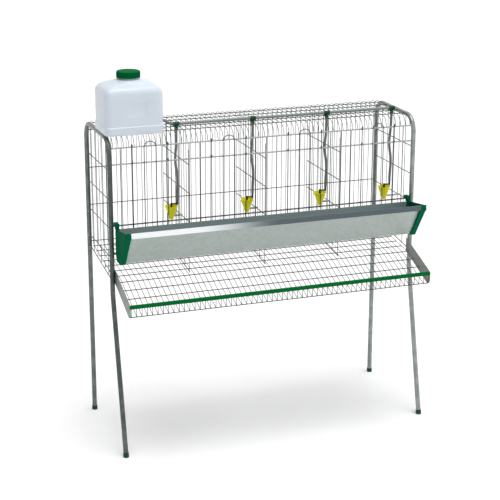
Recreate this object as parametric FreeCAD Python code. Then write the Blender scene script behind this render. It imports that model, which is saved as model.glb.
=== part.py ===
import FreeCAD, Part
import math
import os

from FreeCAD import Vector as V

# Battery hen cage, millimetres. X runs along the cage, +Y to the rear, +Z up.
# The model is drawn from the front legs' upright stretch, then set over the middle of its floor area.

# Frame tubes
cage_length = 1060.0
cage_depth = 300.0
tube_diameter = 16.0
tube_wall = 1.2
top_tube_height = 1036.0
tube_bend_radius = 52.0
knee_height = 520.0
knee_radius = 90.0
foot_splay = 120.0
foot_cap_wall = 1.2
foot_cap_length = 14.0
foot_cap_sole = 3.0
foot_cap_fit = 0.15
joint_stub = 2.0

# Wire stock
fine_wire = 2.0
panel_wire = 3.0
rail_wire = 5.0
bay_count = 4
fine_pitch = 17.6

# Wall wires: the drops are below the top tube's axis, the feet are above the floor's rear edge
top_rail_drop = 28.0
second_rail_drop = 81.0
low_rail_height = 662.0
side_wire_drop = 103.0
side_wire_foot = 39.0
side_wire_rows = 4
side_wire_columns = 6
rear_wire_drop = 30.0
rear_wire_foot = 13.0
rear_wire_rows = 4

# Floor and egg tray
floor_rear_height = 606.0
floor_slope = 7.6
tray_slope = 19.5
tray_reach = 178.0
roof_cross_pitch = 48.0
mesh_cross_pitch = 43.0
tray_lip_height = 36.0
mesh_break = 0.2
edge_clearance = 0.05
edge_profile_width = 9.0
edge_profile_height = 13.0
edge_groove_fit = 0.3
edge_groove_depth = 9.0
plate_thickness = 1.5
plate_height = 45.0
plate_nose_radius = 20.0
rivet_diameter = 5.0
rivet_head = 2.0
rivet_spacing = 22.0

# Feeder trough
trough_top_height = 746.0
trough_front_rise = 18.0
trough_bottom_height = 644.0
trough_rear_gap = 12.0
trough_rear_knee_height = 662.0
trough_bottom_rear = 20.0
trough_bottom_front = 58.0
trough_mouth = 135.0
trough_sheet = 0.8
trough_lip_height = 17.0
trough_lip_depth = 3.0
trough_end_gap = 3.0
trough_cap_thickness = 12.0
trough_cap_rim = 3.0
trough_cap_fit = 0.3
hook_thickness = 7.0
hook_fit = 0.4
trough_rail_rise = 8.0

# Sliding doors
door_wire = 3.0
door_width = 118.0
door_below_rim = 4.0
door_tail_rise = 3.0
door_loop_rise = 16.0
door_run = 0.35
guide_wall = 1.0
guide_height = 5.0

# Water tank
tank_width = 196.0
tank_depth = 158.0
tank_body_height = 128.0
tank_shoulder_height = 40.0
tank_corner_radius = 22.0
tank_foot_radius = 8.0
tank_wall = 2.0
tank_from_left_tube = 89.0
tank_from_front = 80.0
neck_diameter = 64.0
neck_height = 22.0
neck_flange = 6.0
shoulder_round = 24.0
shoulder_steps = 4
cap_diameter = 77.0
cap_height = 20.0
cap_wall = 3.0
cap_fit = 0.4
cap_rib_count = 40
cap_rib_depth = 1.2
outlet_height = 24.0
outlet_length = 9.0
outlet_wall = 1.5
outlet_flange_diameter = 20.0
outlet_flange_thickness = 4.0
hose_bore_fit = 0.15
supply_lead = 17.0

# Water line
pipe_diameter = 10.0
pipe_bore = 7.5
pipe_from_front = 97.0
tee_diameter = 14.0
tee_length = 20.0
tee_insert = 7.0
tee_fit = 0.1
tee_wall = 2.0
tee_drop = 18.0
tee_wire_gap = 0.3
tee_end_gap = 20.0
drop_diameter = 9.0
drop_bore = 6.0
drop_lead = 12.0
drop_over_rim = 18.0
drop_tail = 22.0
drop_wave = 5.0
drop_from_wall = 14.0

# Drip cups and nipples
cup_top_diameter = 44.0
cup_bottom_diameter = 12.0
cup_height = 46.0
cup_wall = 2.0
cup_over_wire = 35.0
cup_hook_width = 4.0
cup_hook_thickness = 2.0
cup_hook_drop = 4.0
cup_hook_fit = 0.2
cup_row = 2
nipple_diameter = 7.0
nipple_arm = 20.0
nipple_arm_diameter = 5.0
nipple_drop = 22.0
pin_diameter = 4.0
pin_length = 20.0
pin_fit = 0.05
pin_showing = 9.0
pin_room = 3.0

# Values that follow from the sizes above
tube_radius = tube_diameter / 2
half_length = cage_length / 2
fine_radius = fine_wire / 2
panel_radius = panel_wire / 2
rail_radius = rail_wire / 2
bay_width = cage_length / bay_count
inner_half = half_length - tube_radius
roof_height = top_tube_height + tube_radius - fine_radius
top_rail_height = top_tube_height - top_rail_drop
second_rail_height = top_tube_height - second_rail_drop
side_wire_top = top_tube_height - side_wire_drop
rear_wire_top = top_tube_height - rear_wire_drop
side_wire_pitch = (side_wire_top - floor_rear_height - side_wire_foot) / (side_wire_rows - 1)
rear_wire_pitch = (rear_wire_top - floor_rear_height - rear_wire_foot) / (rear_wire_rows - 1)
rear_wire_y = cage_depth - panel_radius - fine_radius
bend_height = floor_rear_height - cage_depth * math.tan(math.radians(floor_slope))
tray_front_height = bend_height - tray_reach * math.tan(math.radians(tray_slope))
lip_y = -tray_reach
wall_positions = [bay_width * (i + 1) - half_length for i in range(bay_count - 1)]
last_station = inner_half - tee_length / 2 - tee_end_gap
station_positions = [x - drop_from_wall for x in wall_positions] + [last_station]
station_walls = wall_positions + [half_length]
door_y = -(rail_radius + door_run + door_wire / 2)
door_bar_y = door_y - door_wire / 2 - rail_radius
leg_angle = math.atan2(foot_splay, knee_height)
cup_row_height = side_wire_top - side_wire_pitch * cup_row
cup_rim_height = cup_row_height + cup_over_wire
drop_end_height = cup_rim_height + drop_over_rim
stub_radius = drop_diameter / 2 + tee_wall
foot_cap_radius = tube_radius + foot_cap_fit + foot_cap_wall
mesh_edge = plate_thickness + panel_wire
pipe_height = roof_height + fine_radius + tee_diameter / 2
tank_base = roof_height + fine_radius
tank_x = tank_from_left_tube - half_length
tank_y = tank_from_front
hook_front = -trough_rear_gap - trough_sheet - trough_cap_rim
trough_rail_height = trough_top_height + trough_rail_rise
door_bottom_height = trough_top_height - door_below_rim


def rod(start, end, radius):
    """A straight round wire or bar between two points."""
    run = end.sub(start)
    return Part.makeCylinder(radius, run.Length, start, run)


def ring(centre, axis, outer, inner, height):
    """A round bush with a through bore."""
    outside = Part.makeCylinder(outer, height, centre, axis)
    return outside.cut(Part.makeCylinder(inner, height, centre, axis))


def block(x0, x1, y0, y1, z0, z1):
    return Part.makeBox(x1 - x0, y1 - y0, z1 - z0, V(x0, y0, z0))


def prism(points, axis_vector):
    """A straight solid over a closed outline."""
    face = Part.Face(Part.makePolygon(points + [points[0]]))
    return face.extrude(axis_vector)


def rounded_path(points, radius_for):
    """Straight runs joined by tangent arcs. Returns the wire and the least arc radius."""
    edges = []
    radii = []
    start = points[0]
    for before, corner, after in zip(points, points[1:], points[2:]):
        inward = before.sub(corner).normalize()
        outward = after.sub(corner).normalize()
        half_turn = (math.pi - inward.getAngle(outward)) / 2
        radius = radius_for(before, corner, after, half_turn)
        setback = radius * math.tan(half_turn)
        arc_start = corner.add(inward * setback)
        arc_end = corner.add(outward * setback)
        bisector = inward.add(outward).normalize()
        centre = corner.add(bisector * (radius / math.cos(half_turn)))
        middle = centre.sub(bisector * radius)
        edges.append(Part.makeLine(start, arc_start))
        edges.append(Part.Arc(arc_start, middle, arc_end).toShape())
        radii.append(radius)
        start = arc_end
    edges.append(Part.makeLine(start, points[-1]))
    return Part.Wire(edges), min(radii)


def swept(path, radius):
    start = path.Edges[0].Vertexes[0].Point
    tangent = path.Edges[0].tangentAt(path.Edges[0].FirstParameter)
    section = Part.Wire(Part.makeCircle(radius, start, tangent))
    return path.makePipeShell([section], True, False)


def bent_tube(points, bend_radii, outer, inner):
    """A tube whose corners are arcs of the radii given in order."""
    remaining = list(bend_radii)
    path, _ = rounded_path(points, lambda *_: remaining.pop(0))
    return swept(path, outer).cut(swept(path, inner))


def cord_radius(before, corner, after, half_turn):
    """A limp hose takes the largest easy bend that its shorter run leaves room for."""
    shorter = min(before.sub(corner).Length, after.sub(corner).Length)
    return 0.45 * shorter / math.tan(half_turn)


def hose(name, points, outer, inner):
    """A flexible hose along straight runs and tangent arcs, with its bore."""
    path, least = rounded_path(points, cord_radius)
    body = swept(path, outer).cut(swept(path, inner))
    expected = math.pi * (outer ** 2 - inner ** 2) * path.Length
    print(f"{name}: length {path.Length:.1f}, least radius {least:.1f}, "
          f"volume {body.Volume:.0f} of {expected:.0f}")
    return body


def spread(start, end, pitch):
    """Evenly spaced places from start to end, close to the pitch asked for."""
    count = max(1, round(abs(end - start) / pitch))
    return [start + (end - start) * i / count for i in range(count + 1)]


def end_frame(side):
    """The rear leg, front leg and top tube of one end, at side -1 or +1."""
    x = side * half_length
    inner = tube_radius - tube_wall
    joint_front = tube_bend_radius
    joint_rear = cage_depth - tube_bend_radius
    rear_points = [
        V(x, joint_rear - joint_stub, top_tube_height),
        V(x, cage_depth, top_tube_height),
        V(x, cage_depth, foot_cap_sole),
    ]
    rear_leg = bent_tube(rear_points, [tube_bend_radius], tube_radius, inner)
    knee = V(x, 0, knee_height)
    foot = V(x, -foot_splay, 0)
    below_foot = foot.add(foot.sub(knee).normalize() * tube_diameter)
    front_points = [
        V(x, joint_front + joint_stub, top_tube_height),
        V(x, 0, top_tube_height),
        knee,
        below_foot,
    ]
    front_leg = bent_tube(front_points, [tube_bend_radius, knee_radius], tube_radius, inner)
    keep = block(x - tube_diameter, x + tube_diameter, -2 * foot_splay, cage_depth,
                 foot_cap_sole, top_tube_height + tube_diameter)
    front_leg = front_leg.common(keep)
    top_front = V(x, joint_front + joint_stub, top_tube_height)
    top_rear = V(x, joint_rear - joint_stub, top_tube_height)
    top = rod(top_front, top_rear, tube_radius).cut(rod(top_front, top_rear, inner))
    return rear_leg, front_leg, top


def foot_cap(x, y, lean):
    """A blind plastic cap on a leg end, flat underneath, with lean as the leg's tilt."""
    axis = V(0, math.sin(lean), math.cos(lean))
    bore = tube_radius + foot_cap_fit
    outer = foot_cap_radius
    floor_point = V(x, y, 0)
    low = floor_point.sub(axis * outer)
    body = Part.makeCylinder(outer, foot_cap_length + outer, low, axis)
    sole = block(x - 2 * outer, x + 2 * outer, y - 3 * outer, y + 3 * outer, -3 * outer, 0)
    body = body.cut(sole)
    socket = Part.makeCylinder(bore, foot_cap_length + 2 * outer, low, axis)
    base = block(x - 2 * outer, x + 2 * outer, y - 3 * outer, y + 3 * outer,
                 -3 * outer, foot_cap_sole)
    return body.cut(socket.cut(base))


def wall_panel(x, front_y, rear_y, end_gap, upright_side, upright_top):
    """A welded end panel or partition: level wires, a sloped foot rod and upright wires."""
    wires = []
    upright_x = x + upright_side * (panel_radius + fine_radius)
    low_y = front_y + end_gap
    high_y = rear_y - end_gap
    for row in range(side_wire_rows):
        z = side_wire_top - side_wire_pitch * row
        wires.append(rod(V(x, low_y, z), V(x, high_y, z), panel_radius))
    rise = (fine_radius + panel_radius) / math.cos(math.radians(floor_slope)) + edge_clearance
    wires.append(rod(V(x, low_y + panel_radius, floor_line(low_y + panel_radius) + rise),
                     V(x, high_y - panel_radius, floor_line(high_y - panel_radius) + rise),
                     panel_radius))
    columns = spread(low_y + fine_radius, high_y - fine_radius,
                     (high_y - low_y) / side_wire_columns)
    for y in columns:
        at_edge = y in (columns[0], columns[-1])
        top = top_tube_height - tube_bend_radius if at_edge else upright_top
        wires.append(rod(V(upright_x, y, floor_line(y) + rise), V(upright_x, y, top),
                         fine_radius))
    return Part.makeCompound(wires)


def floor_line(y):
    """Height of the floor wires' axis over the cage's own floor."""
    return bend_height + y * math.tan(math.radians(floor_slope))


def tray_line(y):
    """Height of the tray wires' axis in front of the cage."""
    return bend_height + y * math.tan(math.radians(tray_slope))


def sloped_mesh(y_low, y_high, line, slope, cross_low):
    """A flat welded mesh: fine wires down the slope on cross wires that begin at cross_low."""
    lean = math.radians(slope)
    drop = V(0, math.sin(lean), -math.cos(lean)) * (fine_radius + panel_radius)
    wires = []
    first = V(0, y_low, line(y_low))
    last = V(0, y_high, line(y_high))
    for x in spread(-inner_half + mesh_edge, inner_half - mesh_edge, fine_pitch):
        wires.append(rod(first.add(V(x, 0, 0)), last.add(V(x, 0, 0)), fine_radius))
    half_span = V(inner_half - plate_thickness, 0, 0)
    for y in spread(cross_low, y_high - panel_wire, mesh_cross_pitch):
        centre = V(0, y, line(y)).add(drop)
        wires.append(rod(centre.sub(half_span), centre.add(half_span), panel_radius))
    return Part.makeCompound(wires)


def rear_panel():
    wires = []
    for row in range(rear_wire_rows):
        z = rear_wire_top - rear_wire_pitch * row
        wires.append(rod(V(-inner_half, cage_depth, z), V(inner_half, cage_depth, z),
                         panel_radius))
    foot = floor_line(rear_wire_y) + fine_wire
    for x in spread(-inner_half + mesh_edge, inner_half - mesh_edge, fine_pitch):
        wires.append(rod(V(x, rear_wire_y, foot), V(x, rear_wire_y, rear_wire_top - mesh_break),
                         fine_radius))
    return Part.makeCompound(wires)


def roof_panel():
    """Roof wires that round over at the front rail and at the rear, with long wires below."""
    front_y = rail_radius + fine_radius
    room = roof_height - max(rear_wire_top, top_rail_height)
    roof_bend = room - mesh_break
    front_end = front_y + room
    rear_end = rear_wire_y - room
    front_turn = [
        V(0, front_y, top_rail_height),
        V(0, front_y, roof_height),
        V(0, front_end, roof_height),
    ]
    rear_turn = [
        V(0, rear_wire_y, rear_wire_top),
        V(0, rear_wire_y, roof_height),
        V(0, rear_end, roof_height),
    ]
    lengths = [rod(V(0, front_end + mesh_break, roof_height), V(0, rear_end - mesh_break, roof_height),
                   fine_radius)]
    for points in (front_turn, rear_turn):
        path, _ = rounded_path(points, lambda *_: roof_bend)
        lengths.append(swept(path, fine_radius))
    wires = []
    for x in spread(-inner_half + mesh_edge, inner_half - mesh_edge, fine_pitch):
        for length in lengths:
            wires.append(length.translated(V(beside_stubs(x, station_positions, fine_radius), 0, 0)))
    long_z = roof_height - fine_radius - panel_radius
    for y in spread(tube_bend_radius, cage_depth - tube_bend_radius, roof_cross_pitch):
        clear_y = beside_stubs(y, [pipe_from_front], panel_radius)
        wires.append(rod(V(-inner_half, clear_y, long_z), V(inner_half, clear_y, long_z),
                         panel_radius))
    return Part.makeCompound(wires)


def beside_stubs(place, stubs, wire_radius):
    """The place of a roof wire, pushed aside where a tee's stub comes through."""
    keep = stub_radius + wire_radius + tee_wire_gap
    for stub in stubs:
        if abs(place - stub) < keep:
            return stub + math.copysign(keep, place - stub)
    return place


def bay_doors_x(bay):
    """The four upright places of a bay's door."""
    middle = -half_length + bay_width * (bay + 0.5)
    return spread(middle - door_width / 2, middle + door_width / 2, door_width / 3)


def front_panel():
    """The fixed front: long rails, and uprights beside each door opening."""
    wires = []
    for z in (top_rail_height, second_rail_height, trough_rail_height, low_rail_height):
        wires.append(rod(V(-inner_half, 0, z), V(inner_half, 0, z), rail_radius))
    upright_y = rail_radius + panel_radius
    for bay in range(bay_count):
        left = -half_length + bay_width * bay
        door = bay_doors_x(bay)
        beside_left = spread(left, door[0], (door[0] - left) / 2)[:2]
        beside_right = spread(door[-1], left + bay_width, (left + bay_width - door[-1]) / 2)[1:2]
        first = 1 if bay == 0 else 0
        for x in beside_left[first:] + beside_right:
            wires.append(rod(V(x, upright_y, low_rail_height - rail_radius),
                             V(x, upright_y, top_rail_height - mesh_break - fine_radius),
                             panel_radius))
    return Part.makeCompound(wires)


def door_guides():
    """Small bushes on the two upper rails, round the outer wires of every door."""
    inner = door_wire / 2 + door_run
    bushes = []
    for bay in range(bay_count):
        places = bay_doors_x(bay)
        for x in (places[0], places[-1]):
            for z in (top_rail_height, second_rail_height):
                bushes.append(ring(V(x, door_y, z + rail_radius), V(0, 0, 1),
                                   inner + guide_wall, inner, guide_height))
    return Part.makeCompound(bushes)


def door(bay):
    """A door: two outer wires, a hairpin that ends in the lifting loop, and a bottom bar."""
    places = bay_doors_x(bay)
    radius = door_wire / 2
    tail = top_rail_height + rail_radius + guide_height + door_tail_rise
    pieces = []
    for x in (places[0], places[-1]):
        pieces.append(rod(V(x, door_y, door_bottom_height), V(x, door_y, tail), radius))
    loop_radius = (places[2] - places[1]) / 2
    loop_top = top_rail_height + door_loop_rise
    spring_line = loop_top - loop_radius
    crown = V((places[1] + places[2]) / 2, door_y, loop_top)
    legs = [V(x, door_y, spring_line) for x in places[1:3]]
    path = Part.Wire([
        Part.makeLine(V(places[1], door_y, door_bottom_height), legs[0]),
        Part.Arc(legs[0], crown, legs[1]).toShape(),
        Part.makeLine(legs[1], V(places[2], door_y, door_bottom_height)),
    ])
    pieces.append(swept(path, radius))
    pieces.append(rod(V(places[0] - door_wire, door_bar_y, door_bottom_height),
                      V(places[-1] + door_wire, door_bar_y, door_bottom_height), rail_radius))
    return Part.makeCompound(pieces)


def tray_lip():
    wires = []
    lean = math.radians(tray_slope)
    foot = tray_front_height + fine_radius * (1 / math.cos(lean) + math.tan(lean)) + mesh_break
    top = tray_front_height + tray_lip_height
    for x in spread(-inner_half + mesh_edge, inner_half - mesh_edge, fine_pitch):
        wires.append(rod(V(x, lip_y, foot), V(x, lip_y, top), fine_radius))
    return Part.makeCompound(wires)


def edge_profile():
    """The plastic bead on the lip: a bar with a groove that takes the wire ends."""
    groove_top = tray_front_height + tray_lip_height + mesh_break
    groove_foot = groove_top - edge_groove_depth
    top = groove_foot + edge_profile_height
    body = block(-inner_half, inner_half, lip_y - edge_profile_width / 2,
                 lip_y + edge_profile_width / 2, groove_foot, top)
    corner = edge_profile_width / 3
    body = body.makeFillet(corner, [e for e in body.Edges if e.Length > cage_length / 2])
    half_groove = fine_radius + edge_groove_fit
    groove = block(-inner_half, inner_half, lip_y - half_groove, lip_y + half_groove,
                   groove_foot, groove_top)
    return body.cut(groove)


def plate_outline():
    """Corners of a tray side plate in Y and Z, from the leg to the nose."""
    profile_foot = tray_front_height + tray_lip_height + mesh_break - edge_groove_depth
    rear_y = tube_radius
    nose_y = lip_y - edge_profile_width / 2
    behind_profile = lip_y + edge_profile_width / 2
    underside = fine_radius + panel_wire
    return [
        (rear_y, tray_line(rear_y) - underside),
        (rear_y, tray_line(rear_y) - underside + plate_height),
        (behind_profile, tray_line(behind_profile) - underside + plate_height),
        (behind_profile, profile_foot),
        (nose_y, profile_foot),
        (nose_y, tray_line(nose_y) - underside + plate_nose_radius),
        (nose_y + plate_nose_radius, tray_line(nose_y) - underside),
    ]


def tray_plate(side):
    x = side * inner_half
    corners = [V(x, y, z) for y, z in plate_outline()]
    hub = V(x, corners[6].y, corners[5].z)
    half_way = V(0, -1, -1).normalize() * plate_nose_radius
    nose = Part.Arc(corners[5], hub.add(half_way), corners[6])
    edges = [Part.makeLine(a, b) for a, b in zip(corners[:5], corners[1:6])]
    edges.append(nose.toShape())
    edges.append(Part.makeLine(corners[6], corners[0]))
    face = Part.Face(Part.Wire(edges))
    return face.extrude(V(-side * plate_thickness, 0, 0))


def plate_rivets():
    """Rivets through the side plates beside the front legs."""
    rivets = []
    for side in (-1, 1):
        x = side * (inner_half - plate_thickness)
        for i in range(2):
            z = tray_line(0) + plate_height / 4 + rivet_spacing * (i - 0.5) / 2
            rivets.append(Part.makeCylinder(rivet_diameter / 2, rivet_head, V(x, 0, z),
                                            V(-side, 0, 0)))
    return Part.makeCompound(rivets)


def trough_section(offset):
    """Outside of the trough's sheet in Y and Z, moved inwards by offset."""
    rear = -trough_rear_gap - offset
    front_top = trough_top_height + trough_front_rise
    lean = (trough_mouth - trough_bottom_front) / (front_top - trough_bottom_height)
    front_shift = offset * math.sqrt(1 + lean ** 2)
    front_foot = trough_bottom_front - front_shift + lean * offset
    rear_lean = (trough_bottom_rear - trough_rear_gap) / (trough_rear_knee_height
                                                          - trough_bottom_height)
    rear_shift = offset * math.sqrt(1 + rear_lean ** 2)
    rear_foot = trough_bottom_rear + rear_shift - rear_lean * offset
    knee = trough_rear_knee_height + (rear_shift - offset) / rear_lean
    return [
        (rear, trough_top_height),
        (rear, knee),
        (-rear_foot, trough_bottom_height + offset),
        (-front_foot, trough_bottom_height + offset),
        (-trough_mouth + front_shift, front_top),
        (hook_front, trough_top_height),
    ]


def trough_room(offset):
    """The space inside the section moved inwards by offset, carried up past the rim."""
    section = trough_section(offset)
    above = trough_top_height + trough_front_rise + trough_lip_height
    return [(section[0][0], above)] + section[1:5] + [(section[4][0], above)]


def trough_span():
    """Half length between the outer faces of the two end caps."""
    return inner_half - trough_end_gap


def feeder_trough():
    half = trough_span() - trough_cap_rim - trough_cap_fit
    along = V(2 * half, 0, 0)
    outside = prism([V(-half, y, z) for y, z in trough_section(0)], along)
    inside = prism([V(-half, y, z) for y, z in trough_room(trough_sheet)], along)
    sheet = outside.cut(inside)
    lip_half = trough_span() - trough_cap_thickness - trough_cap_fit
    lip_top = trough_top_height + trough_front_rise
    lip = block(-lip_half, lip_half, -trough_mouth - trough_lip_depth,
                -trough_mouth + trough_sheet, lip_top - trough_lip_height, lip_top)
    return sheet.fuse(lip.cut(outside)).removeSplitter()


def trough_cap(side):
    """An end cap with a socket for the sheet and a hook over the trough rail."""
    outer_face = side * trough_span()
    inward = V(-side * trough_cap_thickness, 0, 0)
    grown = [V(outer_face, y, z) for y, z in trough_section(-trough_cap_rim)]
    body = prism(grown, inward)
    deep = V(-side * trough_cap_thickness, 0, 0)
    floor_x = outer_face - side * trough_cap_rim
    sheet_outside = prism([V(floor_x, y, z) for y, z in trough_room(-trough_cap_fit)], deep)
    core = [V(floor_x, y, z) for y, z in trough_room(trough_sheet + trough_cap_fit)]
    sheet_inside = prism(core, deep)
    inner_rim = trough_sheet + trough_cap_fit + trough_cap_rim
    open_mouth = prism([V(floor_x, y, z) for y, z in trough_room(inner_rim)], deep)
    body = body.cut(sheet_outside.cut(sheet_inside)).cut(open_mouth)
    x0, x1 = sorted((outer_face, outer_face - side * trough_cap_thickness))
    rail_bore = rail_radius + hook_fit
    hook_top = trough_rail_height + rail_bore + hook_thickness
    hook_rear = rail_bore + hook_thickness
    arm = block(x0, x1, hook_front, -rail_bore, trough_top_height, hook_top)
    arm = arm.fuse(block(x0, x1, -rail_bore, hook_rear, trough_rail_height + rail_bore, hook_top))
    arm = arm.fuse(block(x0, x1, rail_bore, hook_rear, trough_rail_height - rail_radius,
                         hook_top))
    return body.fuse(arm).removeSplitter()


def tank_body(inset):
    """The tank's outer form, or its inside when the wall is taken off."""
    half_x = tank_width / 2 - inset
    half_y = tank_depth / 2 - inset
    base = tank_base + inset
    lower = block(tank_x - half_x, tank_x + half_x, tank_y - half_y, tank_y + half_y,
                  base, tank_base + tank_body_height)
    corner = tank_corner_radius - inset
    upright = [e for e in lower.Edges if abs(e.tangentAt(e.FirstParameter).z) > 0.9]
    lower = lower.makeFillet(corner, upright)
    foot = [e for e in lower.Edges if e.BoundBox.ZMax < base + 0.01]
    lower = lower.makeFillet(tank_foot_radius - inset, foot)
    rim = [e for e in lower.Edges if e.BoundBox.ZMin > tank_base + tank_body_height - 0.01]
    section = Part.Wire(Part.__sortEdges__(rim))
    neck_radius = neck_diameter / 2 - inset
    rim_height = tank_base + tank_body_height
    shoulder_top = rim_height + tank_shoulder_height - inset
    sections = [section]
    turn_radius = shoulder_round - inset
    for step in range(1, shoulder_steps + 1):
        turn = math.pi / 2 * step / shoulder_steps
        draw = turn_radius * (1 - math.cos(turn))
        sections.append(rounded_rectangle(half_x - draw, half_y - draw, corner,
                                          rim_height + turn_radius * math.sin(turn)))
    flange = neck_radius + neck_flange
    sections.append(rounded_rectangle(flange, flange, neck_radius, shoulder_top))
    shoulder = Part.makeLoft(sections, True, True)
    neck = Part.makeCylinder(neck_radius, neck_height + tank_shoulder_height / 2 + inset,
                             V(tank_x, tank_y, shoulder_top - tank_shoulder_height / 2))
    return lower.fuse(shoulder).fuse(neck)


def rounded_rectangle(half_x, half_y, corner, z):
    """A level rounded rectangle about the tank's upright axis."""
    corner = min(corner, half_x - 1, half_y - 1)
    face = Part.makePlane(2 * half_x, 2 * half_y, V(tank_x - half_x, tank_y - half_y, z))
    solid = face.extrude(V(0, 0, 1))
    upright = [e for e in solid.Edges if abs(e.tangentAt(e.FirstParameter).z) > 0.9]
    solid = solid.makeFillet(corner, upright)
    foot = [e for e in solid.Edges if e.BoundBox.ZMax < z + 0.01]
    return Part.Wire(Part.__sortEdges__(foot))


def water_tank():
    shell = tank_body(0).cut(tank_body(tank_wall))
    face_x = tank_x + tank_width / 2
    bore = Part.makeCylinder(pipe_bore / 2, 4 * tank_wall,
                             V(face_x - 2 * tank_wall, pipe_from_front, tank_base + outlet_height),
                             V(1, 0, 0))
    return shell.cut(bore)


def tank_top():
    return tank_base + tank_body_height + tank_shoulder_height


def tank_cap():
    """The screw cap: a ribbed drum over the neck."""
    foot = tank_top() + neck_height + cap_fit + cap_wall - cap_height
    centre = V(tank_x, tank_y, foot)
    drum = Part.makeCylinder(cap_diameter / 2 - cap_rib_depth, cap_height, centre)
    drum = drum.makeFillet(cap_wall / 2, [drum.Edges[0]])
    socket = Part.makeCylinder(neck_diameter / 2 + cap_fit, cap_height - cap_wall, centre)
    drum = drum.cut(socket)
    rib_width = math.pi * cap_diameter / cap_rib_count / 2
    rib = block(cap_diameter / 2 - 2 * cap_rib_depth, cap_diameter / 2, -rib_width / 2,
                rib_width / 2, 0, cap_height - cap_wall)
    ribs = []
    for i in range(cap_rib_count):
        turned = rib.copy()
        turned.rotate(V(0, 0, 0), V(0, 0, 1), 360.0 * i / cap_rib_count)
        ribs.append(turned.translated(centre))
    return drum.fuse(ribs).removeSplitter()


def outlet_centre():
    return V(tank_x + tank_width / 2, pipe_from_front, tank_base + outlet_height)


def tank_outlet():
    """The flanged spigot in the tank's right side."""
    centre = outlet_centre()
    along = V(1, 0, 0)
    radius = pipe_bore / 2 - hose_bore_fit
    flange = Part.makeCylinder(outlet_flange_diameter / 2, outlet_flange_thickness, centre, along)
    inside = centre.sub(along * (2 * tank_wall))
    run = 2 * tank_wall + outlet_flange_thickness + outlet_length
    spigot = Part.makeCylinder(radius, run, inside, along)
    bore = Part.makeCylinder(radius - outlet_wall, run, inside, along)
    return flange.fuse(spigot).cut(bore)


def supply_hose():
    """The hose from the tank's spigot down into the first tee."""
    start = outlet_centre().add(V(outlet_flange_thickness + mesh_break, 0, 0))
    end = V(station_positions[0] - tee_length / 2 + tee_insert, pipe_from_front, pipe_height)
    points = [
        start,
        start.add(V(supply_lead, 0, 0)),
        end.sub(V(supply_lead, 0, 0)),
        end,
    ]
    return hose("supply hose", points, pipe_diameter / 2, pipe_bore / 2)


def tee(x, last):
    """A push-on tee of the water line; the last one is closed at its far end."""
    centre = V(x, pipe_from_front, pipe_height)
    along = V(1, 0, 0)
    start = centre.sub(along * (tee_length / 2))
    body = Part.makeCylinder(tee_diameter / 2, tee_length, start, along)
    body = body.fuse(Part.makeCylinder(stub_radius, tee_drop, centre, V(0, 0, -1)))
    reach = tee_length - tee_wall if last else tee_length
    bore = Part.makeCylinder(pipe_diameter / 2 + tee_fit, reach, start, along)
    down = Part.makeCylinder(drop_diameter / 2 + tee_fit, tee_drop, centre, V(0, 0, -1))
    return body.cut(bore).cut(down)


def water_pipe():
    """The pipe lengths between neighbouring tees."""
    lengths = []
    for a, b in zip(station_positions, station_positions[1:]):
        start = V(a + tee_length / 2 - tee_insert, pipe_from_front, pipe_height)
        run = b - a - tee_length + 2 * tee_insert
        lengths.append(ring(start, V(1, 0, 0), pipe_diameter / 2, pipe_bore / 2, run))
    return Part.makeCompound(lengths)


def drop_hose(x, name):
    """A limp hose from a tee down to its nipple, with a slight wave."""
    top = pipe_height - tee_drop + tee_insert
    tail = drop_end_height + drop_tail
    quarter = (top - tail) / 4
    points = [
        V(x, pipe_from_front, top),
        V(x, pipe_from_front, top - quarter),
        V(x - drop_wave, pipe_from_front + drop_wave, top - 2 * quarter),
        V(x + drop_wave / 2, pipe_from_front - drop_wave / 2, top - 3 * quarter),
        V(x, pipe_from_front, tail),
        V(x, pipe_from_front, drop_end_height),
    ]
    return hose(name, points, drop_diameter / 2, drop_bore / 2)


def nipple_centre(x):
    return V(x, pipe_from_front, drop_end_height - drop_lead)


def nipple(x):
    """The black elbow: a spigot up into the hose, an arm to the side and a drinker downward."""
    corner = nipple_centre(x)
    radius = nipple_diameter / 2
    spigot = Part.makeCylinder(drop_bore / 2 - tee_fit, 2 * drop_lead, corner, V(0, 0, 1))
    collar = Part.makeCylinder(radius, drop_lead + radius, corner.sub(V(0, 0, radius)), V(0, 0, 1))
    mouth = nipple_mouth(x)
    arm = rod(corner, mouth, nipple_arm_diameter / 2)
    drinker = Part.makeCylinder(radius, nipple_drop + radius, mouth.add(V(0, 0, radius)),
                                V(0, 0, -1))
    body = spigot.fuse([collar, arm, drinker])
    bore = Part.makeCylinder(pin_diameter / 2 + pin_fit, pin_length - pin_showing + pin_room,
                             mouth.sub(V(0, 0, nipple_drop)), V(0, 0, 1))
    return body.cut(bore)


def nipple_mouth(x):
    """Where the drinker turns down, over the middle of the cup."""
    return nipple_centre(x).sub(V(nipple_arm, 0, 0))


def nipple_pin(x):
    foot = nipple_mouth(x).sub(V(0, 0, nipple_drop + pin_showing))
    return Part.makeCylinder(pin_diameter / 2, pin_length, foot, V(0, 0, 1))


def cup_cone(x):
    """The outer form of a cup under its nipple."""
    foot = nipple_mouth(x)
    foot.z = cup_rim_height - cup_height
    return Part.makeCone(cup_bottom_diameter / 2, cup_top_diameter / 2, cup_height, foot)


def drip_cup(x):
    """The funnel cup under a nipple."""
    foot = nipple_mouth(x)
    foot.z = cup_rim_height - cup_height + cup_wall
    cavity = Part.makeCone(cup_bottom_diameter / 2 - cup_wall, cup_top_diameter / 2 - cup_wall,
                           cup_height - cup_wall, foot)
    return cup_cone(x).cut(cavity)


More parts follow.
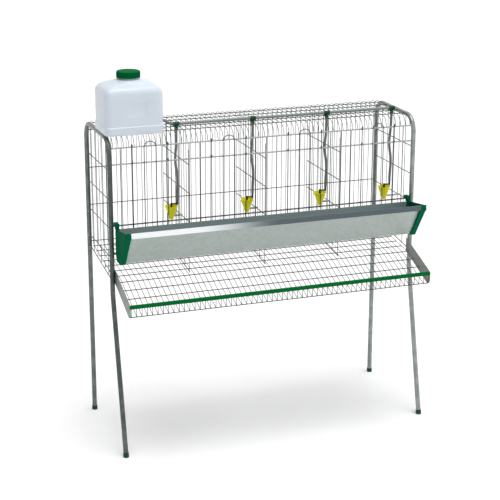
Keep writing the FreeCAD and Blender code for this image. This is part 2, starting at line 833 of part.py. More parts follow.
def cup_hooks():
    """Steel hooks that hold each cup on a level wire of its wall panel."""
    hooks = []
    reach = panel_radius + cup_hook_fit
    over = cup_row_height + reach
    low = over - cup_hook_drop
    high = over + cup_hook_thickness
    y0 = pipe_from_front - cup_hook_width / 2
    y1 = pipe_from_front + cup_hook_width / 2
    for x, wall_x in zip(station_positions, station_walls):
        near_x = wall_x - reach
        far_x = wall_x + reach
        arm = block(nipple_mouth(x).x, near_x, y0, y1, low, high)
        bridge = block(near_x, far_x, y0, y1, over, high)
        tongue = block(far_x, far_x + cup_hook_thickness, y0, y1, low, high)
        hooks.append(arm.fuse([bridge, tongue]).cut(cup_cone(x)).removeSplitter())
    return Part.makeCompound(hooks)


def build():
    nodes = {}
    for side, word in ((-1, "left"), (1, "right")):
        rear_leg, front_leg, top = end_frame(side)
        nodes[f"{word}_rear_leg"] = rear_leg
        nodes[f"{word}_front_leg"] = front_leg
        nodes[f"{word}_top_tube"] = top
        x = side * half_length
        nodes[f"{word}_rear_foot_cap"] = foot_cap(x, cage_depth, 0)
        nodes[f"{word}_front_foot_cap"] = foot_cap(x, -foot_splay, leg_angle)
        nodes[f"{word}_end_panel"] = wall_panel(x, 0, cage_depth, tube_radius, -side,
                                                 top_tube_height - tube_radius)
        nodes[f"{word}_tray_plate"] = tray_plate(side)
        nodes[f"{word}_trough_cap"] = trough_cap(side)
    for i, x in enumerate(wall_positions):
        front_gap = rail_radius + panel_wire
        nodes[f"partition_{i + 1}"] = wall_panel(x, front_gap, rear_wire_y - fine_radius, 0, -1,
                                                  roof_height - fine_radius - panel_wire)
    nodes["rear_panel"] = rear_panel()
    nodes["roof_panel"] = roof_panel()
    nodes["front_panel"] = front_panel()
    nodes["door_guides"] = door_guides()
    nodes["floor_mesh"] = sloped_mesh(mesh_break, rear_wire_y - fine_wire, floor_line,
                                      floor_slope, mesh_cross_pitch)
    nodes["egg_tray_mesh"] = sloped_mesh(lip_y, -mesh_break, tray_line, tray_slope,
                                         lip_y + panel_wire)
    nodes["egg_tray_lip"] = tray_lip()
    nodes["tray_edge_profile"] = edge_profile()
    nodes["plate_rivets"] = plate_rivets()
    nodes["feeder_trough"] = feeder_trough()
    for bay in range(bay_count):
        nodes[f"door_{bay + 1}"] = door(bay)
    nodes["water_tank"] = water_tank()
    nodes["tank_cap"] = tank_cap()
    nodes["tank_outlet"] = tank_outlet()
    nodes["supply_hose"] = supply_hose()
    nodes["water_pipe"] = water_pipe()
    for i, x in enumerate(station_positions):
        number = i + 1
        nodes[f"pipe_tee_{number}"] = tee(x, number == bay_count)
        nodes[f"drop_hose_{number}"] = drop_hose(x, f"drop hose {number}")
        nodes[f"nipple_{number}"] = nipple(x)
        nodes[f"nipple_pin_{number}"] = nipple_pin(x)
        nodes[f"drip_cup_{number}"] = drip_cup(x)
    nodes["cup_hooks"] = cup_hooks()
    return nodes


os.makedirs("parts", exist_ok=True)
middle_y = (cage_depth + foot_cap_radius - tray_reach - edge_profile_width / 2) / 2
for name, shape in build().items():
    shape.translated(V(0, -middle_y, 0)).exportStep(os.path.join("parts", name + ".step"))
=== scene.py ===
import bpy
import math
from mathutils import Matrix, Vector


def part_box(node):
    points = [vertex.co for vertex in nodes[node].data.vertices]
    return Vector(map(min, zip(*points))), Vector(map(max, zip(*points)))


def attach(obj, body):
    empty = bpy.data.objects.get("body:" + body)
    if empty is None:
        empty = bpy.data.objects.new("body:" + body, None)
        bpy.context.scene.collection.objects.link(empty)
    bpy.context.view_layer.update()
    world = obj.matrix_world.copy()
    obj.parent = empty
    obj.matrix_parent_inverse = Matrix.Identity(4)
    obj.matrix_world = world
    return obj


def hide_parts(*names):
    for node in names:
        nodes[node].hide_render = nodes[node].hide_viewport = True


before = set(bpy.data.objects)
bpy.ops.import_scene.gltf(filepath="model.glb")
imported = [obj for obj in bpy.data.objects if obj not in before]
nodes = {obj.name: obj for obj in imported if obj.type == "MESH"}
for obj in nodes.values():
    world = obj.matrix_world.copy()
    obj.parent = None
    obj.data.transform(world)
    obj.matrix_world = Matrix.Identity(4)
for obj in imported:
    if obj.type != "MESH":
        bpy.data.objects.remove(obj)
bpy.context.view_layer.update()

# The front legs' upright plane and the left end frame's plane, which the routes and the view are drawn from.
depth_to_rear_face = 0.308
front_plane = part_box("left_rear_leg")[1].y - depth_to_rear_face
left_plane = -0.530


# Shared surface effects

def new_group(name, inputs, outputs):
    """An empty shader node group with float inputs and float outputs."""
    group = bpy.data.node_groups.new(name, "ShaderNodeTree")
    for label, value in inputs:
        socket = group.interface.new_socket(label, in_out="INPUT", socket_type="NodeSocketFloat")
        socket.default_value = value
    for label in outputs:
        group.interface.new_socket(label, in_out="OUTPUT", socket_type="NodeSocketFloat")
    return group, group.nodes.new("NodeGroupInput"), group.nodes.new("NodeGroupOutput")


def add(tree, kind, **settings):
    """A new node with its settings."""
    node = tree.nodes.new(kind)
    for key, value in settings.items():
        setattr(node, key, value)
    return node


def either_of(tree, first, second):
    """The larger of two masks."""
    node = add(tree, "ShaderNodeMath", operation="MAXIMUM")
    tree.links.new(first, node.inputs[0])
    tree.links.new(second, node.inputs[1])
    return node.outputs[0]


def scaled_position(tree, source, stretch):
    """Object coordinates, stretched by three numbers and multiplied by the group's Scale."""
    place = add(tree, "ShaderNodeTexCoord")
    mapping = add(tree, "ShaderNodeMapping")
    mapping.inputs["Scale"].default_value = stretch
    tree.links.new(place.outputs["Object"], mapping.inputs["Vector"])
    grow = add(tree, "ShaderNodeVectorMath", operation="SCALE")
    tree.links.new(mapping.outputs["Vector"], grow.inputs[0])
    tree.links.new(source.outputs["Scale"], grow.inputs["Scale"])
    return grow.outputs["Vector"]


def noise(tree, place, scale, detail, roughness=0.5):
    """Soft noise at a place."""
    node = add(tree, "ShaderNodeTexNoise")
    node.inputs["Scale"].default_value = scale
    node.inputs["Detail"].default_value = detail
    node.inputs["Roughness"].default_value = roughness
    tree.links.new(place, node.inputs["Vector"])
    return node.outputs["Fac"]


def zinc_spangle():
    """Crystal facets of hot-dip zinc with a soft cloud over them."""
    group, source, result = new_group("zinc_spangle", [("Scale", 1.0), ("Cloud", 0.5)],
                                      ["Tone", "Height"])
    place = scaled_position(group, source, (1, 1, 1))
    facets = add(group, "ShaderNodeTexVoronoi")
    facets.inputs["Scale"].default_value = 110
    group.links.new(place, facets.inputs["Vector"])
    tone = add(group, "ShaderNodeSeparateColor")
    group.links.new(facets.outputs["Color"], tone.inputs["Color"])
    blend = add(group, "ShaderNodeMix", data_type="FLOAT")
    group.links.new(source.outputs["Cloud"], blend.inputs["Factor"])
    group.links.new(tone.outputs["Red"], blend.inputs["A"])
    group.links.new(noise(group, place, scale=9, detail=5), blend.inputs["B"])
    group.links.new(blend.outputs["Result"], result.inputs["Tone"])
    group.links.new(facets.outputs["Distance"], result.inputs["Height"])
    return group


def drawn_streaks():
    """Fine lines left along a wire or tube by the drawing die, and patches of white bloom."""
    group, source, result = new_group("drawn_streaks", [("Scale", 1.0)], ["Streak", "Bloom"])
    lines = noise(group, scaled_position(group, source, (1, 1, 0.05)), scale=420, detail=3)
    patches = noise(group, scaled_position(group, source, (1, 1, 1)), scale=26, detail=6, roughness=0.65)
    ramp = add(group, "ShaderNodeMapRange")
    ramp.inputs["From Min"].default_value = 0.45
    ramp.inputs["From Max"].default_value = 0.75
    group.links.new(patches, ramp.inputs["Value"])
    group.links.new(lines, result.inputs["Streak"])
    group.links.new(ramp.outputs["Result"], result.inputs["Bloom"])
    return group


def moulded_skin():
    """The slight orange peel of a moulded plastic and the scuffs it picks up."""
    group, source, result = new_group("moulded_skin", [("Scale", 1.0)], ["Scuff", "Peel"])
    place = scaled_position(group, source, (1, 1, 1))
    scuff = noise(group, place, scale=34, detail=7, roughness=0.7)
    peel = noise(group, place, scale=650, detail=2)
    group.links.new(scuff, result.inputs["Scuff"])
    group.links.new(peel, result.inputs["Peel"])
    return group


spangle_group = zinc_spangle()
streak_group = drawn_streaks()
skin_group = moulded_skin()


# Materials

def start_material(name):
    """A new material, its node tree and its shader."""
    material = bpy.data.materials.new(name)
    material.use_nodes = True
    tree = material.node_tree
    return material, tree, tree.nodes["Principled BSDF"]


def place_group(tree, group, **values):
    """A shared effect, with the values of its inputs."""
    node = add(tree, "ShaderNodeGroup", node_tree=group)
    for label, value in values.items():
        node.inputs[label].default_value = value
    return node


def two_tone(tree, factor, dark, light, target):
    """A colour between two tones, by a mask."""
    mix = add(tree, "ShaderNodeMix", data_type="RGBA")
    mix.inputs["A"].default_value = (*dark, 1)
    mix.inputs["B"].default_value = (*light, 1)
    tree.links.new(factor, mix.inputs["Factor"])
    tree.links.new(mix.outputs["Result"], target)


def between(tree, factor, low, high, target):
    """A value between two ends, by a mask."""
    ramp = add(tree, "ShaderNodeMapRange")
    ramp.inputs["To Min"].default_value = low
    ramp.inputs["To Max"].default_value = high
    tree.links.new(factor, ramp.inputs["Value"])
    tree.links.new(ramp.outputs["Result"], target)


def raise_surface(tree, shader, height, depth, strength):
    """A fine relief, which is too small to be modelled."""
    bump = add(tree, "ShaderNodeBump")
    bump.inputs["Strength"].default_value = strength
    bump.inputs["Distance"].default_value = depth
    tree.links.new(height, bump.inputs["Height"])
    tree.links.new(bump.outputs["Normal"], shader.inputs["Normal"])


def galvanised(name, dark, light, metallic, rough, scale, cloud):
    """Zinc-coated sheet: spangle in the colour and in the roughness."""
    material, tree, shader = start_material(name)
    spangle = place_group(tree, spangle_group, Scale=scale, Cloud=cloud)
    two_tone(tree, spangle.outputs["Tone"], dark, light, shader.inputs["Base Color"])
    between(tree, spangle.outputs["Tone"], rough[0], rough[1], shader.inputs["Roughness"])
    raise_surface(tree, shader, spangle.outputs["Height"], depth=0.0002, strength=0.25)
    shader.inputs["Metallic"].default_value = metallic
    return material


def drawn_zinc(name, dark, light, metallic, rough, scale):
    """Zinc-coated wire and tube: drawing lines, with dull bloom in patches."""
    material, tree, shader = start_material(name)
    streaks = place_group(tree, streak_group, Scale=scale)
    two_tone(tree, streaks.outputs["Bloom"], dark, light, shader.inputs["Base Color"])
    between(tree, streaks.outputs["Bloom"], rough[0], rough[1], shader.inputs["Roughness"])
    raise_surface(tree, shader, streaks.outputs["Streak"], depth=0.0001, strength=0.3)
    shader.inputs["Metallic"].default_value = metallic
    return material


def plastic(name, dark, light, rough, peel=0.15, scale=1.0, gloss=0.5):
    """Moulded plastic: scuffed tone, uneven gloss and a slight peel."""
    material, tree, shader = start_material(name)
    skin = place_group(tree, skin_group, Scale=scale)
    two_tone(tree, skin.outputs["Scuff"], dark, light, shader.inputs["Base Color"])
    between(tree, skin.outputs["Scuff"], rough[0], rough[1], shader.inputs["Roughness"])
    raise_surface(tree, shader, skin.outputs["Peel"], depth=0.0002, strength=peel)
    shader.inputs["Specular IOR Level"].default_value = gloss
    return material


def let_light_in(material, weight, radius):
    """Light that enters a plastic and leaves it again near by."""
    shader = material.node_tree.nodes["Principled BSDF"]
    shader.inputs["Subsurface Weight"].default_value = weight
    shader.inputs["Subsurface Radius"].default_value = radius


def split_position(tree):
    """Object coordinates as three numbers."""
    place = add(tree, "ShaderNodeTexCoord")
    split = add(tree, "ShaderNodeSeparateXYZ")
    tree.links.new(place.outputs["Object"], split.inputs["Vector"])
    return split


def height_mask(tree, place, heights, reach):
    """One near any of the heights above the floor, nought elsewhere."""
    mask = None
    for height in heights:
        near = add(tree, "ShaderNodeMath", operation="COMPARE")
        near.inputs[1].default_value = height
        near.inputs[2].default_value = reach
        tree.links.new(place.outputs["Z"], near.inputs[0])
        mask = near.outputs[0] if mask is None else either_of(tree, mask, near.outputs[0])
    return mask


def tint_over(tree, mask, target, colour):
    """Lay a colour over what drives a colour socket, by a mask. Returns the new mix node."""
    mix = add(tree, "ShaderNodeMix", data_type="RGBA")
    mix.inputs["B"].default_value = (*colour, 1)
    tree.links.new(target.links[0].from_socket, mix.inputs["A"])
    tree.links.new(mask, mix.inputs["Factor"])
    tree.links.new(mix.outputs["Result"], target)
    return mix


def sheet_with_lip(name, lip_middle, half_lip, rear_from):
    """Zinc-coated sheet with a darker, bluer rear wall.

    Its folded lip carries a painted reflection: dark slate along most of its length, turning to bright white
    towards the left end.
    """
    rear_wall_tone = (0.3, 0.37, 0.38)
    # The lip's two tones are a painted reflection: dark slate, and bright white towards the left end.
    lip_painted_dark_reflection, lip_painted_bright_reflection = (0.08, 0.105, 0.12), (0.9, 0.93, 0.95)
    reflection_from, reflection_to = 0.0, -0.3
    material = galvanised(name, (0.35, 0.405, 0.377), (0.478, 0.534, 0.506),
                          metallic=0.3, rough=(0.32, 0.48), scale=0.9, cloud=0.55)
    tree = material.node_tree
    target = tree.nodes["Principled BSDF"].inputs["Base Color"]
    place = split_position(tree)
    rear = add(tree, "ShaderNodeMath", operation="GREATER_THAN")
    rear.inputs[1].default_value = rear_from
    tree.links.new(place.outputs["Y"], rear.inputs[0])
    tint_over(tree, rear.outputs[0], target, rear_wall_tone)
    # Painted reflection over the lip: dark slate, blending to bright white towards the left end.
    lip = tint_over(tree, height_mask(tree, place, [lip_middle], half_lip), target, lip_painted_dark_reflection)
    painted_reflection = add(tree, "ShaderNodeMapRange", interpolation_type="SMOOTHSTEP")
    painted_reflection.inputs["From Min"].default_value = reflection_from
    painted_reflection.inputs["From Max"].default_value = reflection_to
    tree.links.new(place.outputs["X"], painted_reflection.inputs["Value"])
    two_tone(tree, painted_reflection.outputs["Result"], lip_painted_dark_reflection, lip_painted_bright_reflection, lip.inputs["B"])
    return material


def front_zinc(name, rail_heights, half_rail):
    """The fixed front: uprights in the plain wire tone, and long rails painted lighter as a painted
    highlight.
    """
    rail_painted_highlight = (0.34, 0.365, 0.34)
    material = drawn_zinc(name, (0.08, 0.084, 0.077), (0.168, 0.172, 0.16),
                          metallic=0.4, rough=(0.36, 0.55), scale=1.6)
    tree = material.node_tree
    # Painted highlight along the rails, by their heights.
    mask = height_mask(tree, split_position(tree), rail_heights, half_rail)
    tint_over(tree, mask, tree.nodes["Principled BSDF"].inputs["Base Color"], rail_painted_highlight)
    return material


tube_zinc = drawn_zinc("tube_zinc", (0.115, 0.135, 0.124), (0.25, 0.28, 0.262),
                       metallic=0.55, rough=(0.3, 0.46), scale=1.0)
# Painted shade and painted light: darker and lighter copies of tube_zinc for the shaded left front leg and
# the lit right tubes.
tube_zinc_painted_shade = drawn_zinc("tube_zinc_painted_shade", (0.06, 0.076, 0.069), (0.15, 0.175, 0.162),
                       metallic=0.55, rough=(0.34, 0.5), scale=1.0)
tube_zinc_painted_light = drawn_zinc("tube_zinc_painted_light", (0.24, 0.265, 0.247), (0.42, 0.45, 0.425),
                       metallic=0.55, rough=(0.28, 0.42), scale=1.0)
wire_zinc = drawn_zinc("wire_zinc", (0.05, 0.054, 0.049), (0.11, 0.114, 0.106),
                       metallic=0.45, rough=(0.36, 0.55), scale=1.6)
rail_zinc = front_zinc("rail_zinc", rail_heights=(1.008, 0.955), half_rail=0.0026)
trough_zinc = sheet_with_lip("trough_zinc", lip_middle=0.7556, half_lip=0.0088,
                             rear_from=front_plane - 0.03)
plate_zinc = galvanised("plate_zinc", (0.17, 0.195, 0.175), (0.27, 0.3, 0.275),
                        metallic=0.4, rough=(0.36, 0.52), scale=1.0, cloud=0.5)
cap_green = plastic("cap_green", (0.0001, 0.1, 0.028), (0.0004, 0.14, 0.04),
                    rough=(0.45, 0.62), gloss=0.01)
trough_green = plastic("trough_green", (0.0006, 0.085, 0.036), (0.002, 0.135, 0.06),
                       rough=(0.45, 0.6), gloss=0.008)
edge_green = plastic("edge_green", (0.0003, 0.1, 0.02), (0.0008, 0.155, 0.033),
                     rough=(0.38, 0.52), gloss=0.03)
foot_green = plastic("foot_green", (0.003, 0.035, 0.018), (0.006, 0.06, 0.03),
                     rough=(0.45, 0.65), gloss=0.25)
tee_green = plastic("tee_green", (0.001, 0.045, 0.012), (0.002, 0.075, 0.02),
                    rough=(0.38, 0.55), gloss=0.25)
hose_grey = plastic("hose_grey", (0.12, 0.14, 0.13), (0.19, 0.215, 0.2), rough=(0.4, 0.6))
pipe_grey = plastic("pipe_grey", (0.17, 0.2, 0.2), (0.26, 0.3, 0.3), rough=(0.34, 0.5))
nipple_black = plastic("nipple_black", (0.006, 0.006, 0.006), (0.014, 0.014, 0.014), rough=(0.32, 0.5))
cup_yellow = plastic("cup_yellow", (0.92, 0.86, 0.006), (0.97, 0.93, 0.016),
                     rough=(0.32, 0.48), gloss=0.2)
let_light_in(cup_yellow, weight=0.25, radius=(0.012, 0.012, 0.004))
tank_white = plastic("tank_white", (0.6, 0.67, 0.75), (0.68, 0.745, 0.81),
                     rough=(0.3, 0.44), peel=0.1, scale=0.6)
let_light_in(tank_white, weight=0.12, radius=(0.03, 0.035, 0.04))
hook_zinc = drawn_zinc("hook_zinc", (0.5, 0.52, 0.5), (0.66, 0.68, 0.66),
                       metallic=0.3, rough=(0.3, 0.45), scale=2.0)
pin_steel = drawn_zinc("pin_steel", (0.4, 0.4, 0.4), (0.55, 0.55, 0.55),
                       metallic=0.9, rough=(0.2, 0.3), scale=2.0)


def finish_for(name):
    """The finish of a part of the cage, by what it is; the legs and top tubes also by side, with painted
    shade on the left front leg and painted light on the right.
    """
    # Tubes on the left front get painted shade, those on the right painted light.
    if name.endswith(("_leg", "_top_tube")):
        if name == "left_front_leg":
            return tube_zinc_painted_shade
        return tube_zinc_painted_light if name.startswith("right") else tube_zinc
    if name.endswith("foot_cap"):
        return foot_green
    if name.endswith("tray_plate") or name == "plate_rivets":
        return plate_zinc
    if name == "feeder_trough":
        return trough_zinc
    if name.endswith("trough_cap"):
        return trough_green
    if name == "tank_cap":
        return cap_green
    if name == "cup_hooks":
        return hook_zinc
    if name == "tray_edge_profile":
        return edge_green
    if name.startswith("pipe_tee") or name == "tank_outlet":
        return tee_green
    if name == "water_tank":
        return tank_white
    if name == "water_pipe":
        return pipe_grey
    if name == "supply_hose" or name.startswith("drop_hose"):
        return hose_grey
    if name.startswith("nipple_pin"):
        return pin_steel
    if name.startswith("nipple"):
        return nipple_black
    if name.startswith("drip_cup"):
        return cup_yellow
    if name == "front_panel":
        return rail_zinc
    return wire_zinc


for name, part in nodes.items():
    for holder in part.material_slots:
        holder.material = finish_for(name)


# Hoses

hose_plane = front_plane + 0.097
drop_stations = (-0.279, -0.014, 0.251, 0.492)
drop_diameter, drop_length = 0.009, 0.2468
# Steps aside and back from the tee, and heights, down a drop hose.
drop_route = [
    (0, 0, 1.040),
    (0, 0, 0.984),
    (-0.005, 0.005, 0.928),
    (0.0025, -0.0025, 0.872),
    (0, 0, 0.816),
    (0, 0, 0.794),
]
supply_diameter, supply_length = 0.010, 0.0614
supply_route = [
    (-0.3388, hose_plane, 1.068),
    (-0.3218, hose_plane, 1.068),
    (-0.299, hose_plane, 1.051),
    (-0.282, hose_plane, 1.051),
]


def hose(name, route, diameter, node):
    """A hose on one smooth line through the route's control points."""
    curve = bpy.data.curves.new(name, "CURVE")
    curve.dimensions = "3D"
    curve.bevel_depth = diameter / 2
    curve.bevel_resolution = 6
    curve.resolution_u = 16
    curve.use_fill_caps = True
    line = curve.splines.new("NURBS")
    line.points.add(len(route) - 1)
    for point, place in zip(line.points, route):
        point.co = (*place, 1)
    line.order_u = 3
    line.use_endpoint_u = True
    piece = bpy.data.objects.new(name, curve)
    bpy.context.scene.collection.objects.link(piece)
    curve.materials.append(hose_grey)
    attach(piece, "cage")
    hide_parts(node)


for number, station in enumerate(drop_stations, 1):
    route = [(station + aside, hose_plane + back, height) for aside, back, height in drop_route]
    hose(f"drinker_hose_{number}", route, drop_diameter, f"drop_hose_{number}")
hose("tank_hose", supply_route, supply_diameter, "supply_hose")


# Shared steps of modelling

slack = 0.0003
smooth_angle = math.radians(32)


def open_piece(name):
    """Name the object just added and its mesh, and open it for editing with all of it selected."""
    piece = bpy.context.object
    piece.name = name
    piece.data.name = name
    bpy.ops.object.mode_set(mode="EDIT")
    bpy.ops.mesh.select_all(action="SELECT")
    return piece


def choose(mesh, mode, test):
    """Select only the vertices, edges or faces whose points pass the test."""
    bpy.ops.object.mode_set(mode="OBJECT")
    for group in (mesh.vertices, mesh.edges, mesh.polygons):
        for item in group:
            item.select = False
    items = {"VERT": mesh.vertices, "EDGE": mesh.edges, "FACE": mesh.polygons}[mode]
    for item in items:
        corners = [item.index] if mode == "VERT" else item.vertices
        item.select = test([mesh.vertices[i].co for i in corners])
    bpy.context.tool_settings.mesh_select_mode = (mode == "VERT", mode == "EDGE", mode == "FACE")
    bpy.ops.object.mode_set(mode="EDIT")


def level_at(height):
    """A test for points that all lie at one height."""
    return lambda points: all(abs(point.z - height) < slack for point in points)


def round_edges(radius, segments):
    """Round the chosen edges."""
    bpy.ops.mesh.bevel(offset=radius, offset_type="OFFSET", segments=segments, profile=0.5, affect="EDGES")


def face_outward():
    """Turn all faces outward."""
    bpy.ops.mesh.select_all(action="SELECT")
    bpy.ops.mesh.normals_make_consistent(inside=False)


def close_piece():
    """Leave edit mode and shade the rounds smooth."""
    bpy.ops.object.mode_set(mode="OBJECT")
    bpy.ops.object.shade_smooth_by_angle(angle=smooth_angle)


# Water tank

tank_low, tank_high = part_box("water_tank")
tank_middle = (tank_low + tank_high) / 2
tank_half = (tank_high - tank_low) / 2
tank_rim = tank_low.z + 0.128
corner_round, foot_round, shoulder_round = 0.022, 0.008, 0.026
shoulder_turn, shoulder_steps = math.radians(66), 8
shoulder_top = tank_rim + 0.040
neck_radius, neck_step, neck_draw = 0.0385, 0.003, 0.86
ledge = tank_low.z + 0.029
ledge_slope, ledge_depth = 0.0028, 0.0024
panel_x, panel_z = tank_middle.x + 0.008, tank_low.z + 0.080
panel_half_x, panel_half_z = 0.035, 0.025
panel_rim, panel_depth = 0.0022, 0.0012


def lift_ring(rise, scale_x, scale_y, height):
    """Carry the selection up and draw it in about the tank's upright axis."""
    bpy.ops.mesh.extrude_region_move(TRANSFORM_OT_translate={"value": (0, 0, rise)})
    bpy.ops.transform.resize(value=(scale_x, scale_y, 1),
                             center_override=(tank_middle.x, tank_middle.y, height))


def on_front(points):
    """A test for points on the tank's front above the ledge."""
    return all(abs(point.y - tank_low.y - ledge_depth) < slack for point in points)


def in_panel(points):
    """A test for points in the field of the sunk panel."""
    return on_front(points) and all(abs(point.x - panel_x) < panel_half_x + slack
                                    and abs(point.z - panel_z) < panel_half_z + slack for point in points)


def tank_shell():
    """The blow-moulded tank: rounded body and shoulder, short neck, a ledge and a bare sunk panel."""
    bpy.ops.object.select_all(action="DESELECT")
    bpy.ops.mesh.primitive_cube_add(size=2, location=(0, 0, 0))
    shell = open_piece("tank_shell")
    mesh = shell.data
    half_body = (tank_rim - tank_low.z) / 2
    bpy.ops.transform.resize(value=(tank_half.x, tank_half.y, half_body), center_override=(0, 0, 0))
    bpy.ops.transform.translate(value=(tank_middle.x, tank_middle.y, tank_low.z + half_body))

    # Upright corners, then the foot
    choose(mesh, "EDGE", lambda points: abs(points[0].z - points[1].z) > half_body)
    round_edges(corner_round, segments=7)
    choose(mesh, "EDGE", level_at(tank_low.z))
    round_edges(foot_round, segments=4)

    # Shoulder: a round that stops short of level
    choose(mesh, "FACE", level_at(tank_rim))
    span_x, span_y, level = tank_half.x, tank_half.y, tank_rim
    for step in range(1, shoulder_steps + 1):
        turn = shoulder_turn * step / shoulder_steps
        draw = shoulder_round * (1 - math.cos(turn))
        height = tank_rim + shoulder_round * math.sin(turn)
        lift_ring(height - level, (tank_half.x - draw) / span_x, (tank_half.y - draw) / span_y, height)
        span_x, span_y, level = tank_half.x - draw, tank_half.y - draw, height
    bpy.ops.mesh.delete(type="ONLY_FACE")

    # Neck: a ring bridged to the shoulder by a shallow slope, drawn in and carried up
    bpy.ops.mesh.primitive_circle_add(vertices=32, radius=neck_radius, fill_type="NOTHING",
                                      location=(tank_middle.x, tank_middle.y, shoulder_top))
    shoulder_end, neck_start = level_at(level), level_at(shoulder_top)
    choose(mesh, "EDGE", lambda points: shoulder_end(points) or neck_start(points))
    bpy.ops.mesh.bridge_edge_loops(number_cuts=5, interpolation="SURFACE", smoothness=0.6)
    choose(mesh, "EDGE", neck_start)
    lift_ring(neck_step, neck_draw, neck_draw, shoulder_top + neck_step)
    lift_ring(tank_high.z - shoulder_top - neck_step, 1, 1, tank_high.z)
    bpy.ops.mesh.edge_face_add()

    # Ledge round the body: all above it stands back a little
    for height in (ledge - ledge_slope, ledge):
        bpy.ops.mesh.select_all(action="SELECT")
        bpy.ops.mesh.bisect(plane_co=(0, 0, height), plane_no=(0, 0, 1))
    choose(mesh, "VERT", lambda points: ledge - slack < points[0].z < shoulder_top - slack)
    bpy.ops.transform.resize(value=(1 - ledge_depth / tank_half.x, 1 - ledge_depth / tank_half.y, 1),
                             center_override=(tank_middle.x, tank_middle.y, ledge))

    # Sunk panel in the front face
    for x in (panel_x - panel_half_x, panel_x + panel_half_x):
        choose(mesh, "FACE", on_front)
        bpy.ops.mesh.bisect(plane_co=(x, 0, 0), plane_no=(1, 0, 0))
    for z in (panel_z - panel_half_z, panel_z + panel_half_z):
        choose(mesh, "FACE", on_front)
        bpy.ops.mesh.bisect(plane_co=(0, 0, z), plane_no=(0, 0, 1))
    choose(mesh, "FACE", in_panel)
    bpy.ops.mesh.inset(thickness=panel_rim, depth=-panel_depth)
    face_outward()
    close_piece()
    mesh.materials.append(tank_white)
    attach(shell, "cage")
    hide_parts("water_tank")


tank_shell()


# Flanges of the trough caps

flange_width = 0.0188
flange_end = 0.5198
flange_round = 0.001
sharp_angle = math.radians(20)
# Front edge, depth and height of the flange's top, knee, neck and foot.
flange_rows = [
    (front_plane - 0.1384, 0.0035, 0.7652),
    (front_plane - 0.1405, 0.0056, 0.7465),
    (front_plane - 0.1325, 0.0119, 0.7415),
    (front_plane - 0.0625, 0.0075, 0.6402),
]


def settle_flange(piece):
    """Give a flange its finish and its body."""
    piece.data.materials.append(trough_green)
    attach(piece, "feeder")


def cap_flanges():
    """The broad front edges of both trough caps: a clip over the lip, and a strip down the slope."""
    bpy.ops.object.select_all(action="DESELECT")
    front, depth, height = flange_rows[0]
    bpy.ops.mesh.primitive_plane_add(size=depth, location=(0, 0, 0))
    left = open_piece("left_cap_flange")
    mesh = left.data

    # Outline in the plane of the end: the top row, carried down from row to row
    bpy.ops.transform.rotate(value=math.radians(90), orient_axis="Y", center_override=(0, 0, 0))
    bpy.ops.transform.translate(value=(-flange_end, front + depth / 2, height + depth / 2))
    choose(mesh, "VERT", level_at(height + depth))
    bpy.ops.mesh.delete(type="VERT")
    choose(mesh, "EDGE", level_at(height))
    for next_front, next_depth, next_height in flange_rows[1:]:
        step = (0, next_front - front, next_height - height)
        bpy.ops.mesh.extrude_region_move(TRANSFORM_OT_translate={"value": step})
        bpy.ops.transform.resize(value=(1, next_depth / depth, 1),
                                 center_override=(0, next_front, next_height))
        front, depth, height = next_front, next_depth, next_height

    # Width, then rounded edges
    bpy.ops.mesh.select_all(action="SELECT")
    bpy.ops.mesh.extrude_region_move(TRANSFORM_OT_translate={"value": (flange_width, 0, 0)})
    face_outward()
    bpy.ops.mesh.select_all(action="DESELECT")
    bpy.ops.mesh.edges_select_sharp(sharpness=sharp_angle)
    round_edges(flange_round, segments=2)
    close_piece()

    right = left.copy()
    right.name = "right_cap_flange"
    right.data = mesh.copy()
    right.data.name = "right_cap_flange"
    bpy.context.scene.collection.objects.link(right)
    right.data.transform(Matrix.Translation((2 * flange_end - flange_width, 0, 0)))
    settle_flange(left)
    settle_flange(right)


cap_flanges()


# View, floor and light

camera_place = (left_plane - 1.122, front_plane - 4.41, 2.084)
camera_turn, camera_tilt, camera_roll = (math.radians(a) for a in (19.88, 17.269, 0.155))
sensor_mm, lens_mm = 36, 106.215
floor_size = 160
world_from_left, world_from_right = 0.1, 0.94
key_energy, key_spread = 2.2, math.radians(38)
key_lean = (math.radians(8), math.radians(2), 0)


def aim_camera():
    """The camera where the photographer stood."""
    level = math.cos(camera_tilt)
    ahead = Vector((math.sin(camera_turn) * level, math.cos(camera_turn) * level, -math.sin(camera_tilt)))
    right = Vector((math.cos(camera_turn), -math.sin(camera_turn), 0))
    up = right.cross(ahead)
    side = right * math.cos(camera_roll) + up * math.sin(camera_roll)
    top = up * math.cos(camera_roll) - right * math.sin(camera_roll)
    lens = bpy.data.cameras.new("view")
    lens.sensor_width = sensor_mm
    lens.lens = lens_mm
    lens.clip_end = 100
    camera = bpy.data.objects.new("view", lens)
    bpy.context.scene.collection.objects.link(camera)
    turned = Matrix((side, top, -ahead)).transposed().to_4x4()
    turned.translation = camera_place
    camera.matrix_world = turned
    bpy.context.scene.camera = camera


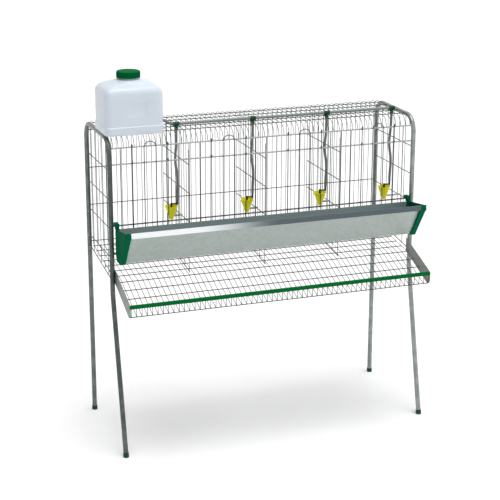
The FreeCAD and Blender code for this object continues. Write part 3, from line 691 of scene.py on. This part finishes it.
def lay_floor():
    """A wide pale floor, which also is the backdrop."""
    bpy.ops.object.select_all(action="DESELECT")
    bpy.ops.mesh.primitive_plane_add(size=floor_size, location=(0, 0, 0))
    floor = bpy.context.object
    floor.name = "studio_floor"
    material, _, shader = start_material("studio_floor")
    shader.inputs["Base Color"].default_value = (0.97, 0.97, 0.975, 1)
    shader.inputs["Roughness"].default_value = 0.9
    shader.inputs["Specular IOR Level"].default_value = 0
    floor.data.materials.append(material)


def surround():
    """Soft light from all round, weaker from the left, but even white to the eye and in reflections."""
    world = bpy.data.worlds.new("studio")
    bpy.context.scene.world = world
    world.use_nodes = True
    tree = world.node_tree
    seen = tree.nodes["Background"]
    seen.inputs["Color"].default_value = (1, 1, 1, 1)
    seen.inputs["Strength"].default_value = 1
    cast = add(tree, "ShaderNodeBackground")
    cast.inputs["Color"].default_value = (1, 1, 1, 1)
    side = add(tree, "ShaderNodeMapRange")
    side.inputs["From Min"].default_value = -1
    side.inputs["From Max"].default_value = 1
    side.inputs["To Min"].default_value = world_from_left
    side.inputs["To Max"].default_value = world_from_right
    tree.links.new(split_position(tree).outputs["X"], side.inputs["Value"])
    tree.links.new(side.outputs["Result"], cast.inputs["Strength"])
    path = add(tree, "ShaderNodeLightPath")
    plain = either_of(tree, path.outputs["Is Camera Ray"], path.outputs["Is Glossy Ray"])
    plain = either_of(tree, plain, path.outputs["Is Transmission Ray"])
    mix = add(tree, "ShaderNodeMixShader")
    tree.links.new(plain, mix.inputs["Fac"])
    tree.links.new(cast.outputs[0], mix.inputs[1])
    tree.links.new(seen.outputs[0], mix.inputs[2])
    tree.links.new(mix.outputs[0], tree.nodes["World Output"].inputs["Surface"])


def hang_key():
    """One broad key light from almost straight above."""
    key = bpy.data.lights.new("key", "SUN")
    key.energy = key_energy
    key.angle = key_spread
    lamp = bpy.data.objects.new("key", key)
    bpy.context.scene.collection.objects.link(lamp)
    lamp.rotation_euler = key_lean


aim_camera()
lay_floor()
surround()
hang_key()
bpy.context.scene.view_settings.view_transform = "Standard"
